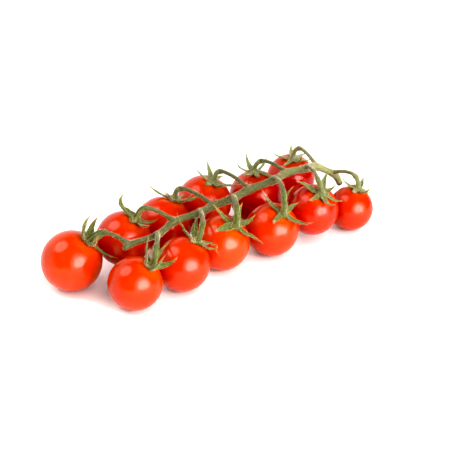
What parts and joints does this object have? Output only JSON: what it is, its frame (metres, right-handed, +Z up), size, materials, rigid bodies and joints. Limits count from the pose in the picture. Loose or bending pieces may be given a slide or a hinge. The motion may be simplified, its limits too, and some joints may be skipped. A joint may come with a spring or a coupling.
{
  "type": "truss of tomatoes",
  "caption": "Truss of round cherry tomatoes along both sides of a green kinked stem, lying as picked, each fruit with a knuckled stalk and a calyx of long pointed sepals.",
  "frame": {"origin": "middle of the bounding box, on the surface that the truss lies on", "axes": "+X along the main stem from its tip to its cut end, +Y towards the back row of fruit, +Z up"},
  "size_m": [0.1826, 0.0794, 0.0411],
  "materials": {
    "tomato_skin": "ripe tomato skin, smooth and waxy, glossy with soft highlights",
    "stem": "green stem with a fine pale fuzz, matt",
    "calyx": "green sepals with paler edges and dry tan tips, matt and finely hairy"
  },
  "bodies": {
    "root": {"main_stem": "stem", "tomato_01": "tomato_skin", "tomato_02": "tomato_skin", "tomato_03": "tomato_skin", "tomato_04": "tomato_skin", "tomato_05": "tomato_skin", "tomato_06": "tomato_skin", "tomato_07": "tomato_skin", "tomato_08": "tomato_skin", "tomato_09": "tomato_skin", "tomato_10": "tomato_skin", "tomato_11": "tomato_skin", "tomato_12": "tomato_skin", "calyx_01": "calyx", "calyx_02": "calyx", "calyx_03": "calyx", "calyx_04": "calyx", "calyx_05": "calyx", "calyx_06": "calyx", "calyx_07": "calyx", "calyx_08": "calyx", "calyx_09": "calyx", "calyx_10": "calyx", "calyx_11": "calyx", "calyx_12": "calyx"}
  },
  "joints": []
}
